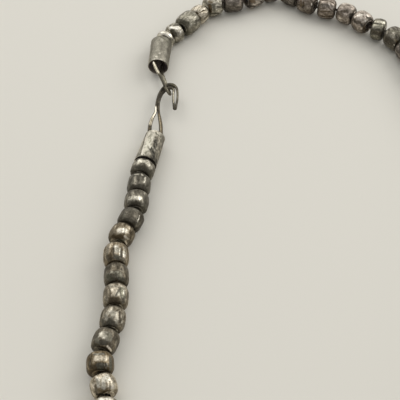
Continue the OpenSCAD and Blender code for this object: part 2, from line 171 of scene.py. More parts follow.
# Tarnish and wear, with painted highlights, painted reflections and painted shade, charted from the
# photograph of
# 400 x 400 pixels. Each row is a stroke from one pixel to another, with its half width in pixels, its tone (0
# black to 1 bright), its cast (-1 olive to 1 brown) and how deep it is pressed in
U0, V0, U1, V1, SPREAD, SHADE, CAST, PRESS = range(8)
TARNISH_AND_PAINTED_LIGHT = {
    "eye_tube": [
        (152, 42, 149.5, 60, 1, 0.45, -0.1, 0),
        (158.5, 42, 156.5, 56, 2.6, 0.58, -0.1, 0),
        (161.5, 38.5, 161.5, 40, 1.8, 0.66, -0.1, 0),
        (167, 45, 165.5, 62, 1.4, 0.52, -0.1, 0),
        (170.5, 44, 168.5, 52, 0.9, 0.3, 0.1, 0),
        (159.6, 52.4, 160, 52.8, 1, 0.85, 0, 0.03),
        (155.8, 55.6, 156.2, 56, 1, 0.82, 0, 0.03),
        (153, 58.6, 163, 60, 0.7, 0.85, 0, 0),
        (159.4, 57.6, 159.5, 57.7, 0.5, 0.1, 0, 0),
        (157.5, 34.5, 162, 36.7, 0.5, 0.3, -0.8, 0),
        (162, 36.7, 166.5, 39.5, 0.5, 0.3, -0.8, 0),
        (166.5, 39.5, 170, 43.5, 0.5, 0.3, -0.8, 0),
    ],
    "hook_tube": [
        (145, 133.5, 139.5, 154, 1, 0.45, -0.1, 0),
        (146.2, 134.5, 140.3, 156, 0.7, 0.95, 0.2, 0),
        (150, 134, 145.5, 153, 2.6, 0.75, -0.3, 0),
        (155.5, 132, 161.5, 136.5, 0.8, 0.32, -0.7, 0),
        (155.5, 136, 155.8, 137, 0.8, 0.15, 0, 0),
        (158.5, 137.5, 161, 140.5, 2.2, 0.34, 0.2, 0),
        (157, 141, 156, 146.5, 2.6, 0.06, 0, 0.03),
        (151.2, 147.5, 153.2, 151, 2, 0.06, -0.2, 0.03),
        (153.8, 152.5, 155, 155.5, 2.6, 0.04, 0, 0.03),
        (156, 143, 157.5, 150, 1, 0.3, -0.1, 0),
        (160, 140, 156.5, 156, 1.2, 0.5, 0.2, 0),
        (152, 156, 157, 160.5, 2.4, 0.1, 0.1, 0),
        (140.5, 156.3, 149, 156, 0.9, 0.34, 0, 0),
        (143.2, 153.9, 143.3, 154.6, 0.7, 0.2, 0, 0),
        (149, 143, 150, 147, 0.8, 0.9, -0.3, 0),
    ],
    "eye": [
        (152, 58, 157.4, 71, 2.4, 0.82, 0, 0),
        (159, 74.5, 164.2, 87.5, 1, 0.1, -0.2, 0),
        (162, 72, 166.8, 84, 1.3, 0.68, -0.2, 0),
        (158.5, 64.3, 162.3, 73.9, 0.8, 0.6, 0, 0),
        (165, 88, 170, 95.5, 1.6, 0.34, -0.2, 0),
    ],
    "hook": [
        (150, 124, 153.5, 116, 1.8, 0.74, 0.2, 0),
        (152.8, 119, 151, 124.5, 0.5, 0.3, 0.2, 0),
        (148.9, 126.6, 149.8, 129.6, 1.8, 0.03, 0.5, 0),
        (155, 105, 155.5, 112, 1, 1, 0.1, 0),
        (153, 116, 155, 112.5, 1.1, 0.95, 0.3, 0),
        (157.5, 112, 160.3, 124, 0.8, 0.36, 0.9, 0),
        (159.8, 116, 160.6, 131, 0.6, 0.66, 0.5, 0),
        (161.6, 119, 162.3, 132, 0.7, 0.14, 0.8, 0),
        (156.5, 98, 158, 112, 1.4, 0.08, 0.4, 0),
        (159, 96, 164, 88, 2.2, 0.04, 0.2, 0),
        (170, 82.5, 175.5, 86, 0.8, 0.42, -0.6, 0),
        (172.5, 88, 174.3, 92, 0.9, 0.42, -0.2, 0),
        (176.8, 88, 177, 104, 0.6, 0.3, -0.1, 0),
        (174, 91, 174.2, 102, 0.5, 0.85, -0.2, 0),
        (173, 105.5, 176, 110, 1.8, 0.08, 0.2, 0),
    ],
    "eye_bead_1": [
        (158, 34.6, 162, 32, 2.6, 0.95, -0.1, 0),
        (162, 31.5, 168, 32.6, 3, 0.92, -0.1, 0),
        (168, 33.5, 171, 37, 2.6, 0.86, -0.1, 0),
        (172, 39, 175, 43, 1.8, 0.55, -0.2, 0),
        (176, 44, 178, 48, 1.6, 0.42, -0.2, 0),
    ],
    "eye_bead_2": [
        (169.5, 27.3, 178, 26.6, 2.2, 1, 0, 0),
        (171, 31, 175, 35.5, 2.4, 0.2, -0.3, 0),
        (176, 33.5, 177.5, 36, 1.2, 0.16, -0.2, 0),
        (178.5, 32, 179.5, 37, 1.2, 0.55, 0, 0),
        (181, 31.4, 181.3, 32, 0.9, 1, 0, 0),
        (182.5, 28.5, 183, 34, 1, 0.65, 0, 0),
        (176, 40, 181.5, 39.5, 1.5, 0.66, 0, 0),
        (175, 43.5, 180, 43, 1.2, 0.18, -0.4, 0),
    ],
    "eye_bead_3": [
        (182, 16, 191, 14.5, 2.2, 0.58, -0.4, 0),
        (187, 15.7, 190, 15.7, 0.9, 0.78, -0.3, 0),
        (178.3, 19, 177, 21, 1, 0.28, -0.4, 0),
        (178.2, 21.7, 178.6, 22.5, 0.9, 0.56, -0.3, 0),
        (183, 22.5, 188.5, 24, 2.6, 0.24, -0.5, 0.05),
        (180.5, 25, 183.5, 27.3, 1.2, 0.05, -0.4, 0),
        (184, 25.4, 184.3, 25.8, 0.6, 0.75, 0, 0),
        (187, 30, 187.4, 30.6, 0.8, 0.5, -0.4, 0),
        (191.5, 23, 191.5, 27, 1.2, 0.62, -0.4, 0),
        (193.5, 21, 194, 27, 1.6, 0.52, -0.5, 0),
        (185.5, 33, 190.5, 33.3, 1.2, 0.18, -0.4, 0),
        (196.8, 20, 197, 26, 1, 0.3, -0.6, 0),
    ],
    "eye_bead_4": [
        (193.5, 7, 199, 6.2, 2.6, 0.78, 0.6, 0),
        (201, 8, 205, 8, 1.8, 0.85, 0.2, 0),
        (197.8, 13, 205.3, 10.1, 0.6, 0.12, 0.8, 0.12),
        (195.8, 13, 196.8, 15, 1.2, 0.08, 1, 0),
        (199.5, 15.5, 206, 13, 2.2, 0.85, 0.5, 0),
        (200, 19.5, 204.5, 19, 1.8, 0.55, 0.3, 0),
        (196.6, 17.5, 198, 22.5, 1, 0.18, -0.3, 0),
    ],
    "eye_bead_5": [
        (208, 1, 211.5, 1.5, 1.4, 0.45, 0.8, 0),
        (209, 6, 209.8, 11.5, 2.2, 0.16, 0.9, 0),
        (212, 11.3, 212.3, 11.8, 0.8, 0.65, 0.1, 0),
        (214.5, 5, 214.8, 11, 1.6, 0.42, -0.2, 0),
        (218, 4, 221, 4.5, 1.8, 0.8, -0.1, 0),
        (217.5, 7.2, 221, 7.4, 0.6, 0.2, 0, 0.06),
        (218.5, 9.3, 220.5, 9.3, 1.2, 0.78, -0.1, 0),
        (211, 14, 219.5, 14, 0.9, 0.16, -0.5, 0),
        (223.2, 1, 223.4, 8, 1, 0.08, 0.2, 0),
    ],
    "eye_bead_6": [
        (231, 8.5, 234.5, 8.5, 1.1, 0.5, -0.1, 0),
        (240.8, 0.5, 241.3, 3.5, 0.8, 0.65, 0.6, 0),
        (225, 0.5, 226, 2, 0.9, 0.5, 0.2, 0),
        (226.5, 11.3, 234.5, 11.3, 0.8, 0.2, -0.5, 0),
    ],
    "eye_bead_7": [
        (245, 1, 247, 4, 1.6, 0.16, 0.9, 0),
        (250, 1.5, 254.5, 2, 2, 0.5, 0.8, 0),
        (257, 1.5, 259.5, 2.2, 1.2, 0.65, 0.1, 0),
        (261.5, 1.5, 262.8, 3.5, 1, 0.18, 0, 0),
        (247, 6.8, 256.5, 7, 1.2, 0.16, -0.2, 0),
    ],
    "eye_bead_10": [
        (300, 2, 300.5, 6, 1.8, 0.36, 0.7, 0),
        (303, 1.5, 303, 6, 0.8, 0.14, 0.8, 0),
        (307, 1.5, 310.5, 5, 2.2, 0.46, 0.3, 0),
        (312.4, 3.6, 312.6, 5.4, 0.7, 1, 0.1, 0),
        (304.5, 9, 311, 9, 1.8, 0.55, 0.1, 0),
        (303.5, 13.3, 309.5, 13.6, 0.8, 0.22, 0.3, 0),
        (315.2, 4.5, 315.6, 10.5, 1.1, 0.08, 0.6, 0),
    ],
    "eye_bead_11": [
        (318, 2, 321, 3, 1.8, 0.46, 0.3, 0),
        (323, 4.5, 327.5, 5, 2.2, 0.34, 0, 0),
        (328.4, 2, 330.6, 5, 0.9, 0.9, 0, 0),
        (330.6, 5, 332.3, 9, 0.8, 0.78, -0.1, 0),
        (333.5, 5, 334.5, 9, 1.2, 0.56, -0.4, 0),
        (318.5, 9.3, 327, 10.7, 0.8, 0.55, 0.3, 0),
        (320, 12, 330, 12.3, 0.6, 0.15, 0.6, 0.1),
        (323.5, 13.7, 330, 14.5, 0.8, 0.48, 0.4, 0),
        (321, 16.8, 333.5, 17, 0.9, 0.14, 0.7, 0),
        (336.6, 5.5, 336.4, 13.5, 1.1, 0.04, 0.6, 0),
    ],
    "eye_bead_12": [
        (343.5, 2.8, 351.5, 2.6, 1.8, 0.95, 0.1, 0),
        (340.5, 7.5, 348, 6.5, 2, 0.6, 0.2, 0),
        (341.5, 10.5, 344, 11, 1.4, 0.34, 0.3, 0),
        (347, 8.5, 347.3, 11.5, 1, 0.36, 0.2, 0),
        (342.2, 7.4, 342.6, 7.8, 0.7, 0.8, 0.1, 0),
        (350.5, 8.5, 352, 12, 1.8, 0.7, 0.1, 0),
        (355, 5.8, 356, 7.2, 1, 0.34, 0.3, 0),
        (338, 12.5, 340.5, 16, 1.8, 0.55, 0.4, 0),
        (342.5, 17.5, 347.5, 18, 1.8, 0.55, 0.2, 0),
        (351.5, 15, 355.5, 15.5, 1.8, 0.14, -0.1, 0),
        (356.8, 10.5, 356.9, 12.8, 0.8, 0, 0, 0),
        (350.5, 17.5, 352.5, 19.5, 1.2, 0.05, -0.2, 0),
    ],
    "eye_bead_13": [
        (358, 14.3, 367, 14, 1.8, 0.8, 0, 0),
        (356, 18.5, 364, 18.5, 2.4, 0.7, 0.1, 0),
        (355.5, 22.5, 359.5, 22.7, 1.2, 0.32, 0.2, 0),
        (360.5, 24.5, 362.5, 27, 1.1, 0.2, -0.1, 0),
        (366.5, 17, 371.5, 18.5, 1.2, 0.26, -0.4, 0.08),
        (366, 21, 369.5, 21.5, 1.1, 0.85, -0.2, 0),
        (369.5, 23, 371, 25.5, 1.3, 0.1, -0.4, 0),
        (353, 25, 355, 29, 1.8, 0.56, 0.3, 0),
        (358.5, 29.5, 362.5, 29.5, 1.6, 0.66, 0.1, 0),
        (360.8, 29.4, 361.2, 29.7, 0.7, 0.95, 0, 0),
        (364.5, 28, 365.5, 32, 1.3, 0.42, 0.7, 0),
        (359, 33.5, 363.5, 34, 0.9, 0.16, 0.5, 0),
        (367.5, 28.5, 368.3, 30.5, 1.1, 0.04, 0.3, 0),
    ],
    "eye_bead_14": [
        (376, 20.5, 385, 22, 2, 0.8, -0.6, 0),
        (373, 25, 383, 25.8, 2.2, 0.68, -0.9, 0),
        (375, 29.2, 380, 29.5, 0.6, 0.08, -0.4, 0.12),
        (372, 32, 383, 35, 3, 0.1, 0.2, 0),
        (376.5, 31.5, 378, 32.5, 0.8, 0.44, 0.2, 0),
        (384.2, 25, 384.2, 29.5, 0.9, 0.1, -0.3, 0),
        (385.5, 31, 390, 31, 0.9, 0.1, -0.2, 0),
        (387.8, 26.5, 388.3, 27.5, 0.9, 0.7, -0.2, 0),
        (385.4, 29.3, 385.8, 29.7, 0.6, 0.62, -0.5, 0),
    ],
    "eye_bead_15": [
        (391, 30.2, 399, 30.5, 1.4, 0.48, -0.4, 0),
        (389, 34.5, 394.5, 35.5, 1.8, 0.52, -0.1, 0),
        (395.5, 34, 397, 37.5, 0.9, 0.16, -0.3, 0),
        (385.5, 40, 391.5, 44, 3.2, 0.05, 0.2, 0),
        (389, 43.8, 389.3, 44.3, 0.7, 0.56, 0, 0),
        (393.9, 45.8, 394.3, 46.3, 0.7, 0.95, 0.1, 0),
        (394.3, 39.8, 395, 40.5, 0.9, 0.44, 0.7, 0),
        (397.5, 42.5, 398.5, 46.5, 1.4, 0.08, 0.8, 0),
    ],
    "hook_bead_1": [
        (134, 163, 139, 160.5, 2, 0.62, -0.2, 0),
        (131, 171, 134, 173, 2, 0.1, 0, 0),
        (148, 171, 151, 176, 2.4, 0.22, -0.2, 0),
        (136.5, 167, 147, 167.5, 2.4, 0.12, -0.2, 0.04),
        (139, 160, 148, 161, 2.2, 0.84, -0.4, 0),
        (143.5, 165, 144.5, 165.5, 0.7, 0.05, 0, 0),
        (147, 166.5, 147.6, 168.5, 0.8, 0.05, 0, 0),
        (148.5, 161.5, 152.5, 167.5, 1.8, 0.66, 0, 0),
    ],
    "hook_bead_2": [
        (141, 177, 140.5, 184, 1.6, 0.3, 0, 0),
        (132, 180, 131, 184, 1.5, 0.25, -0.2, 0),
        (131, 186, 143, 187.5, 1.8, 0.06, 0, 0.05),
        (134.5, 176.5, 134.5, 183, 1.4, 0.5, 0.1, 0),
        (142.6, 173.8, 143.2, 174.6, 0.9, 0.7, 0, 0),
        (146, 176.5, 145.5, 182, 0.8, 0.8, 0, 0),
        (134, 173.6, 138, 173.4, 0.8, 0.7, 0, 0),
        (137, 191.3, 143, 192.3, 0.7, 0.5, 0, 0),
    ],
    "hook_bead_3": [
        (128.5, 198, 134, 197, 2.2, 0.6, -0.2, 0),
        (142, 195, 146, 200, 1.5, 0.3, -0.2, 0),
        (146.5, 199, 146, 207, 2.2, 0.14, -0.1, 0),
        (128, 203.5, 139, 205, 1.8, 0.12, -0.1, 0.05),
        (136.5, 197.2, 140.5, 197.2, 2.6, 0.92, 0, 0),
        (142.5, 203, 143.5, 206, 1.2, 0.35, 0, 0),
        (147, 210, 144, 214, 1.5, 0.2, 0, 0),
    ],
    "hook_bead_4": [
        (128, 209, 137, 209, 2.2, 0.24, 0, 0),
        (132, 212, 129, 222, 2.6, 0.2, 0.1, 0),
        (124, 213, 122, 220, 1.3, 0.26, -0.3, 0),
        (124, 220.5, 126.5, 221.5, 1.8, 0.04, -0.3, 0.05),
        (137, 226, 134, 228.5, 1, 0.35, 0.1, 0),
        (140.6, 215, 138.6, 222.5, 0.5, 0.9, 0, 0),
        (138.5, 216, 136.5, 222, 0.4, 0.5, 0, 0),
        (128, 226.6, 133.5, 229.5, 0.8, 0.6, 0.3, 0),
        (127.5, 229, 131, 231, 0.8, 0.02, 0, 0),
    ],
    "hook_bead_5": [
        (110.5, 233, 115, 229.5, 2.6, 0.45, 0.5, 0),
        (128, 231, 129.5, 235, 1.8, 0.5, 0.6, 0),
        (112, 237, 122.5, 237.8, 1.8, 0.06, 1, 0.06),
        (116, 241, 123, 242, 1.5, 0.42, -0.8, 0),
        (129.5, 241, 128, 245, 1.2, 0.3, 0.3, 0),
        (119.5, 229.3, 125.3, 229.8, 2.7, 0.88, 0.1, 0),
        (125.3, 236, 130, 239.6, 0.9, 0.73, 0.3, 0),
        (126, 242.5, 127.4, 244, 0.9, 0.73, 0.6, 0),
    ],
    "hook_bead_6": [
        (115, 256, 119, 257.5, 2.2, 0.3, -0.5, 0),
        (108, 256, 110, 259, 2, 0.14, 0.7, 0),
        (105.5, 256, 107.5, 261, 1.2, 0.3, 0.4, 0),
        (113, 260.5, 117, 261.5, 1.2, 0.42, 0.8, 0),
        (123.5, 259, 125, 262, 1.8, 0.45, 0.3, 0),
        (124.5, 247, 126, 249, 1.2, 0.5, 0.2, 0),
        (107, 247, 106.5, 252, 2, 0.58, 0.5, 0),
        (115.5, 246.5, 117.5, 249.5, 2.6, 0.76, -0.1, 0),
        (112.6, 247.5, 113.2, 256, 0.8, 0.1, 0.4, 0.15),
        (121.9, 247, 121.8, 257, 0.6, 0.06, -0.2, 0.15),
        (120.7, 248, 120.7, 255, 0.7, 0.86, -0.3, 0),
        (125, 252, 125.2, 255, 1.9, 0.81, -0.1, 0),
    ],
    "hook_bead_7": [
        (112, 267.5, 115, 268, 1.4, 0.4, 0.5, 0),
        (106.5, 276, 110.5, 279, 2.2, 0.1, -0.8, 0),
        (119.5, 273, 122.5, 279, 2.4, 0.36, -0.4, 0),
        (125.6, 271, 126, 276, 1.2, 0.38, 0.4, 0),
        (110.5, 271.5, 113.5, 272, 1, 0.52, -0.4, 0),
        (116.3, 271, 117.5, 271.5, 0.9, 0.5, -0.4, 0),
        (115.6, 274, 115.8, 276.5, 0.8, 0.08, -0.3, 0.06),
        (122.2, 268.4, 122.6, 269.2, 0.8, 0.08, 0, 0.05),
        (124, 278, 124.2, 280, 1, 0.16, -0.2, 0),
    ],
    "hook_bead_8": [
        (122.5, 288, 124, 296, 2.4, 0.45, -0.8, 0),
        (105.3, 296, 105.8, 302, 1.2, 0.5, 0.3, 0),
        (124.5, 299, 124, 303, 1.6, 0.3, 0.2, 0),
        (110, 299, 118, 299.5, 2, 0.12, 0.7, 0),
        (110, 303, 119, 304, 2, 0.06, 0.6, 0),
        (108, 288, 108, 293, 2.4, 0.46, 0.5, 0),
        (113, 286.5, 115, 290, 3, 0.74, 0.5, 0),
        (110, 285.5, 118, 285.3, 1.2, 0.54, 0.2, 0),
        (120.5, 287, 116, 295, 0.7, 0.25, -0.2, 0.1),
        (119.7, 292.5, 119.9, 294, 0.9, 0.69, -0.3, 0),
        (124.6, 290.5, 124.9, 294, 0.9, 0.79, -0.4, 0),
    ],
    "hook_bead_9": [
        (108.5, 311, 114, 311.5, 1.8, 0.55, 0, 0),
        (113, 313, 111, 317, 1.6, 0.5, -0.2, 0),
        (101.5, 320, 103, 327, 1.5, 0.28, -0.4, 0),
        (108.5, 320.5, 108, 326, 2.6, 0.12, -0.3, 0),
        (113, 321, 116, 326, 1.6, 0.1, 0.1, 0),
        (123.5, 315, 123, 323, 1, 0.5, 0.1, 0),
        (105.3, 314, 106, 318, 1.6, 0.64, 0, 0),
        (117, 311.5, 118, 322, 1.6, 0.69, 0.1, 0),
        (120.8, 311.5, 121.5, 322, 0.9, 0.1, 0.2, 0.1),
        (113.4, 330.3, 116.5, 331.5, 0.7, 0.74, 0.1, 0),
    ],
    "hook_bead_10": [
        (95.5, 338, 97, 343, 1.8, 0.42, -0.3, 0),
        (109.5, 334, 111, 339, 2.2, 0.3, -0.4, 0),
        (106, 338.5, 108, 341, 1.4, 0.3, 0, 0),
        (114.5, 341, 115, 349, 1.6, 0.42, 0.6, 0),
        (112, 342, 112.5, 345, 1, 0.5, 0.4, 0),
        (96, 345, 98, 348, 1.4, 0.25, 0.4, 0),
        (102, 331.5, 107, 331.5, 1.2, 0.5, -0.1, 0),
        (100, 333, 105, 335.5, 2.2, 0.72, -0.2, 0),
        (101, 341, 105.5, 343, 2, 0.08, 0, 0.06),
        (100, 346.9, 107.5, 346.9, 0.7, 0.5, 0.6, 0),
        (108.5, 347, 112, 351.5, 0.9, 1, 0.6, 0),
    ],
    "hook_bead_11": [
        (94, 353.5, 104, 352.8, 1.1, 0.4, 0, 0),
        (88.5, 362, 89, 368, 1.3, 0.3, 0.3, 0),
        (97.5, 365, 102.5, 366, 2.4, 0.16, -0.2, 0.04),
        (98, 369.5, 102, 370.5, 1.6, 0.28, -0.8, 0),
        (111.5, 358, 112, 369, 1.6, 0.34, -0.3, 0),
        (104, 371.5, 110, 373.5, 1, 0.12, 0.3, 0),
        (91, 366, 94.5, 369.5, 2.2, 0.06, 0.8, 0),
        (91.5, 359.5, 92.5, 363, 1.4, 0.5, 1, 0),
        (95.5, 357.5, 105.5, 357, 2.6, 0.78, 0.5, 0),
        (105.3, 364, 107.2, 370, 0.6, 0.50, 0, 0),
        (107.8, 363, 109, 367, 0.6, 0.55, 0, 0),
        (106.4, 362.5, 106.8, 366, 0.6, 0.1, 0.1, 0.05),
    ],
    "hook_bead_12": [
        (94.5, 386, 95, 392, 1.4, 0.4, 0.5, 0),
        (113.5, 378, 115, 381, 1.4, 0.5, 0.3, 0),
        (99, 390, 106, 391.5, 2.2, 0.42, 1, 0),
        (101, 388.5, 101.4, 389.5, 0.9, 0.1, 0.9, 0),
        (97, 379, 97.3, 385, 1.6, 0.76, -0.2, 0),
        (103.5, 377, 103.5, 387, 1.9, 0.74, 0, 0),
        (108, 374.8, 107.5, 379, 1.8, 0.86, -0.2, 0),
        (100, 379, 99.8, 386, 0.8, 0.62, 0.4, 0.04),
        (110.8, 380, 111, 389, 0.7, 0.5, 0.3, 0.04),
        (114, 384, 114, 390, 2, 0.81, 0.3, 0),
        (109.7, 390, 110, 394, 1, 0.6, 1, 0),
        (97, 395.5, 106, 395.8, 1, 0.05, 0.3, 0),
    ],
    "hook_bead_13": [
        (98, 398.5, 108, 398.5, 2, 0.98, -0.1, 0),
    ],
}

# A stroke is gone at this many half widths. A point is seen at a pixel within SEEN_REACH of its line of
# sight, or within SEEN_SLACK of the nearest point to that line
STROKE_END = 1.5
SEEN_REACH = 0.35
SEEN_SLACK = 0.1

# Detail of the meshes
FINE_AROUND = 132
FINE_RINGS = 54
PLAIN_AROUND = 56
PLAIN_RINGS = 20
WIRE_AROUND = 16
WIRE_STEPS = 6
FOLD_STEPS = 12
TUBE_AROUND = 150
TUBE_RINGS = 64
TUBE_INNER_RINGS = 14

# Section of a bead: how far the barrel stops before the end and starts inside the rim, how fast the relief
# fades there, the steps of the rounded rim and hole, each by its distance from that radius and from the
# end, and the share of the half length where the hole's last ring lies
BARREL_STOP = 0.14
BARREL_FOOT = 0.1
RELIEF_FADE = 2.5
RIM_ROUND = ((0.12, 0.11), (0.16, 0.03), (0.24, 0))
HOLE_ROUND = ((0.2, 0), (0.06, 0.06), (0, 0.22))
HOLE_CORE = 0.4

# Facets of a bead: how many, the spread of their directions, least and most depth as shares of the
# hammering, and how much of that is pressed flat
FACETS = 16
FACET_SPREAD = np.array([1, 1, 0.6])
FACET_DEPTHS = (0.5, 1.4)
FACET_FLATNESS = 0.85

# Dents of a bead: how many, their depth as a share of the hammering, least and most of that depth and of
# their size, and the weight of the relief above which they start
DENTS = 5
DENT_STRENGTH = 0.7
DENT_DEPTHS = (0.4, 1)
DENT_SIZES = (0.5, 1.1)
DENT_RELIEF = 0.6

# Flutes of a bead: how they wander, how deep they are at the middle and how much deeper at the ends
WANDER = 0.12
SWAY = 0.1
FLUTE_MIDDLE = 0.7
FLUTE_ENDS = 0.9

# Small unevenness of a bead: scale, share of the radius and distance of two beads in the noise
ROUGH_SCALE = 1.3
ROUGH_SHARE = 0.006
ROUGH_APART = 7.0

# Lengthwise streaks of tarnish: scale across and along a bead, distance of two beads in the noise, the
# finer streaks' scale and share, and how strong they all are
STREAK_SCALE = (5, 5, 0.4)
STREAK_APART = 3.1
STREAK_FINE_SCALE = 2.3
STREAK_FINE = 0.6
STREAK_WEAR = 0.35

# Soot in the flutes and at the ends of a bead
GROOVE_SOOT = 0.4
GROOVE_FULL = 6
END_SOOT = 0.35
END_FROM = 0.36
END_RUN = 0.14

# Seeds, the beads' lowest point above the surface and how far soot reaches out of a hole
BEAD_SEED = 1000
PLAIN_SEED = 77
LIFT = 0.01
HOLE_SOOT = 0.1

# Looks of the beads outside the picture: how many flutes, then the lowest and highest of every other column
PLAIN_FLUTES = (6, 9)
PLAIN_LOOKS = ((0.1, 0.26), (-30, 40), (0, 50), (0.25, 0.65), (-0.5, 0.6), (0.08, 0.18), (3.3, 4.6))

# Rounded end of a wire: how far out and how wide each ring is, as shares of the wire's radius
CAP_STEPS = ((0.28, 0.94), (0.6, 0.66), (0.76, 0.31))

# Rim of an end tube: how far in from its radius and back from its end, the weight of the relief there and
# how far it counts as inside; then the first ring after it on either face
TUBE_RIM = ((0.04, 0.04, 0.6, 0), (0.13, 0, 0.5, 0), (WALL - 0.1, 0, 0.3, 0.5), (WALL, 0.12, 0, 1))
TUBE_OUTER_START = 0.13
TUBE_INNER_START = 0.12

# Unevenness of an end tube: scale across and along it, depth of its dents, depth and scale of finer ones
TUBE_SCALE = (1.6, 1.6, 0.45)
TUBE_DENT = 0.07
TUBE_FINE_DENT = 0.025
TUBE_FINE_SCALE = 3.1

# Tarnish of an end tube: its size in the noise, scales of clouds and mottle, and the clouds' part in the cast
CLOUD_RUN = (1, 1, 2)
CLOUD_SCALE = 2.2
MOTTLE_SCALE = 6.5
CLOUD_CAST = 0.4

# The photograph's camera, and about how large a pixel is on the necklace
PHOTO_SIZE = 400
LENS = 90
SENSOR = 36
CAMERA = np.array([-30.5, -202.0, 255.0])
LOOK_DOWN = math.radians(50)
PIXEL_MM = 0.34


def unit(v):
    return v / np.linalg.norm(v)


def heading(a, b):
    return math.atan2(b[1] - a[1], b[0] - a[0])


def turn(a, b):
    """Angle between two headings, without its sign."""
    return abs((a - b + 3 * math.pi) % (2 * math.pi) - math.pi)


def between(a, b, c, d, t):
    """Point at share t of the smooth span from b to c, with a before it and d after it."""
    return (2 * b + t * (c - a) + t * t * (2 * a - 5 * b + 4 * c - d) + t**3 * (3 * b - a - 3 * c + d)) / 2


def smooth(rows, steps):
    """Smooth run through a table's rows, whose ends repeat."""
    rows = [np.array(row, dtype=float) for row in rows]
    last = len(rows) - 1
    run = [
        between(rows[max(i - 1, 0)], rows[i], rows[i + 1], rows[min(i + 2, last)], k / steps)
        for i in range(last)
        for k in range(steps)
    ]
    return run + [rows[last]]


def noise_values(places):
    return np.array([noise.noise(Vector(p)) for p in places])


def noise_places(a, t, scale, shift):
    """Places in the noise of a round piece's points, at angle a and t along it."""
    return np.stack([np.cos(a), np.sin(a), t], axis=1) * scale + [0, 0, shift]


def round_angles(around):
    return np.arange(around) * 2 * math.pi / around


# The string


def string_joints():
    """Joints between the beads, from the eye's tube round to the hook's, and the beads' widths."""
    eye_joints, hook_joints = (
        [np.array([row[END_X], row[END_Y]], dtype=float) for row in strand]
        for strand in (EYE_STRAND, HOOK_STRAND)
    )
    way = eye_joints[-2:] + [np.array(p, dtype=float) for p in WAY_ROUND] + hook_joints[:-3:-1]
    line = [
        between(way[i - 1], way[i], way[i + 1], way[i + 2], k / WAY_STEPS)
        for i in range(1, len(way) - 2)
        for k in range(WAY_STEPS)
    ]
    line = np.array(line + [hook_joints[-1]])
    run = np.concatenate([[0], np.cumsum(np.linalg.norm(np.diff(line, axis=0), axis=1))])
    count = round(run[-1] / PLAIN_PITCH)
    places = np.arange(1, count) * run[-1] / count
    plain_joints = [np.array([np.interp(place, run, axis) for axis in line.T]) for place in places]
    plain_widths = [
        PLAIN_W + PLAIN_VARY * math.sin(math.radians(i * PLAIN_VARY_STEP))
        for i in range(1, count + 1)
    ]
    joints = [EYE_SEAT] + eye_joints + plain_joints + hook_joints[::-1] + [HOOK_SEAT]
    eye_widths = [row[BEAD_W] for row in EYE_STRAND]
    hook_widths = [row[BEAD_W] for row in HOOK_STRAND]
    return joints, eye_widths + plain_widths + hook_widths[::-1]


JOINTS, WIDTHS = string_joints()
BEAD_COUNT = len(WIDTHS)
PLAIN_FIRST = len(EYE_STRAND)
PLAIN_LAST = BEAD_COUNT - len(HOOK_STRAND) - 1


def bead_heading(i):
    if i < 0:
        return heading(EYE_MOUTH, EYE_SEAT)
    if i >= BEAD_COUNT:
        return heading(HOOK_SEAT, HOOK_MOUTH)
    return heading(JOINTS[i], JOINTS[i + 1])


def room(k, width):
    """Room that a bead leaves before joint k."""
    bend = turn(bead_heading(k - 1), bead_heading(k))
    if k in (0, BEAD_COUNT):
        return max(CLEAR, (CLEAR + width / 2 * math.sin(bend)) / math.cos(bend) - RIM_T)
    return (CLEAR / 2 + width * RIM_SHARE / 2 * math.sin(bend / 2)) / math.cos(bend / 2)


# Strokes charted from the photograph


def sight_line(u, v):
    """Direction from the camera through a pixel of the photograph."""
    x = (u / PHOTO_SIZE - 0.5) * SENSOR / LENS
    y = (v / PHOTO_SIZE - 0.5) * SENSOR / LENS
    down, level = math.sin(LOOK_DOWN), math.cos(LOOK_DOWN)
    return unit(np.array([x, level - y * down, -down - y * level]))


def seen_point(points, u, v):
    """The point of a piece that shows at a pixel."""
    line = sight_line(u, v)
    depth = (points - CAMERA) @ line
    off = np.linalg.norm(points - CAMERA - depth[:, None] * line, axis=1)
    near = off < max(SEEN_REACH, off.min() + SEEN_SLACK)
    return points[near][np.argmin(depth[near])]


def stroke_weights(points, row):
    """How much a stroke covers each point of a piece, from 0 to 1."""
    across, down = row[U1] - row[U0], row[V1] - row[V0]
    count = max(2, math.ceil(math.hypot(across, down)) + 1)
    line = [seen_point(points, row[U0] + across * k, row[V0] + down * k) for k in np.linspace(0, 1, count)]
    best = np.full(len(points), np.inf)
    for a, b in zip(line[:-1], line[1:]):
        run = b - a
        share = np.clip((points - a) @ run / max(run @ run, 1e-6), 0, 1)
        best = np.minimum(best, np.linalg.norm(points - a - share[:, None] * run, axis=1))
    reach = np.clip(STROKE_END - best / (row[SPREAD] * PIXEL_MM), 0, 1)
    return reach * reach * (3 - 2 * reach)


def chart(name, points, marks, centre_line):
    """Paints and presses a piece's strokes of tarnish, wear, painted highlights and painted shade, inwards to
    its centre line, given as a point and a direction.
    """
    centre, direction = centre_line
    inward = centre - points
    inward = inward - (inward @ direction)[:, None] * direction
    inward /= np.maximum(np.linalg.norm(inward, axis=1), 1e-6)[:, None]
    press = np.zeros(len(points))
    for row in TARNISH_AND_PAINTED_LIGHT.get(name, []):
        weight = stroke_weights(points, row) * (1 - marks["inside"])
        marks["wear"] = marks["wear"] + (row[SHADE] - marks["wear"]) * weight
        marks["warmth"] = marks["warmth"] + (row[CAST] - marks["warmth"]) * weight
        press = np.maximum(press, row[PRESS] * weight)
    return points + inward * press[:, None]


# Meshes


def scene_object(name, data):
    made = bpy.data.objects.new(name, data)
    bpy.context.scene.collection.objects.link(made)
    return made


